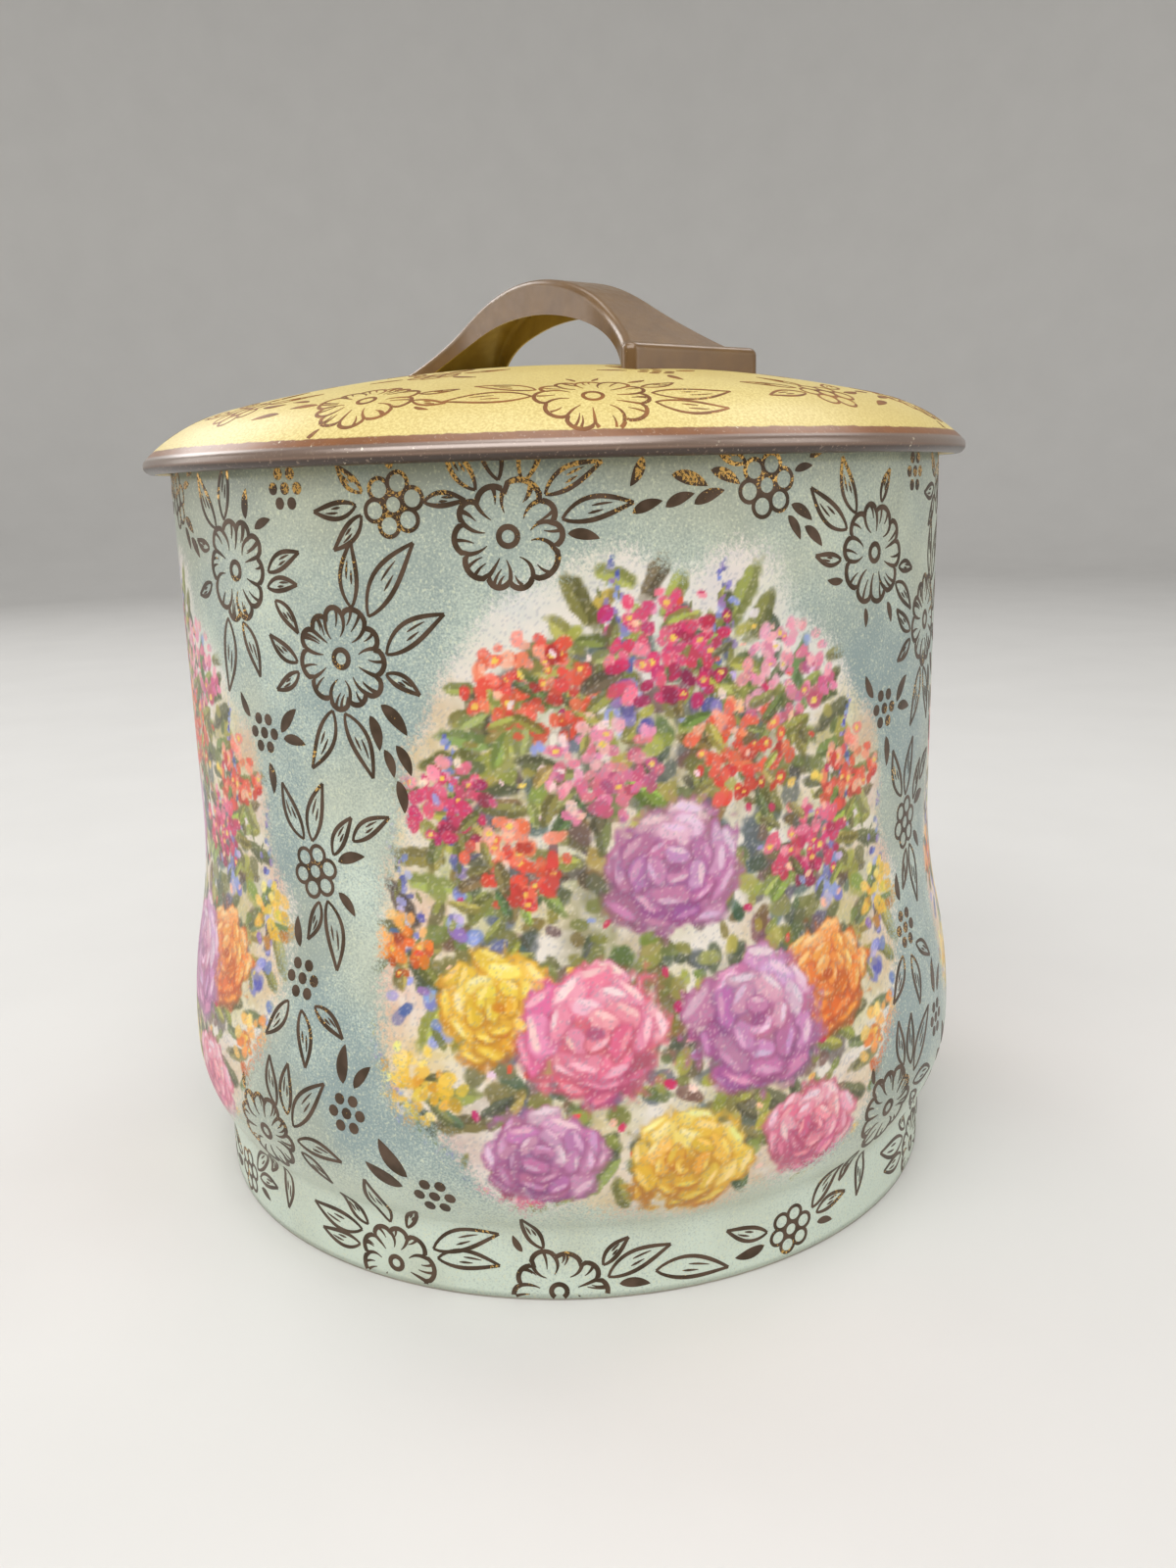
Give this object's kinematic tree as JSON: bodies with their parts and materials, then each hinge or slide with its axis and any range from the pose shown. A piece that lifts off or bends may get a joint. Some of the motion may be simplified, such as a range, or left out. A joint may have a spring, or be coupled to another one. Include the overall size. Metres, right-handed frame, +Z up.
{
  "type": "bobbin box",
  "caption": "Round waisted tinplate box on a foot, with a set-in base and a domed lift-off lid that has a plug ring and an arched strap handle, for bobbins and sewing notions.",
  "frame": {"origin": "centre of the foot ring, on the surface that the box stands on", "axes": "+Z up along the axis of the body, +X along the length of the lid handle"},
  "size_m": [0.1496, 0.1496, 0.1631],
  "materials": {
    "printed_body": "satin lithographed print on tinplate, pale mint ground",
    "printed_lid": "satin lithographed print on tinplate, lemon ground with a rust-brown rim",
    "bronzed_handle": "satin bronze-brown lacquer",
    "bare_tinplate": "dull bare tinplate"
  },
  "bodies": {
    "box": {"body_wall": "printed_body", "base_plate": "bare_tinplate"},
    "lid": {"lid_dome": "printed_lid", "lid_collar": "bare_tinplate", "lid_handle": "bronzed_handle"}
  },
  "joints": [
    {"name": "lid_lift", "type": "slide", "parent": "box", "child": "lid", "axis": [0, 0, 1], "range_m": [0, 0.1]}
  ]
}
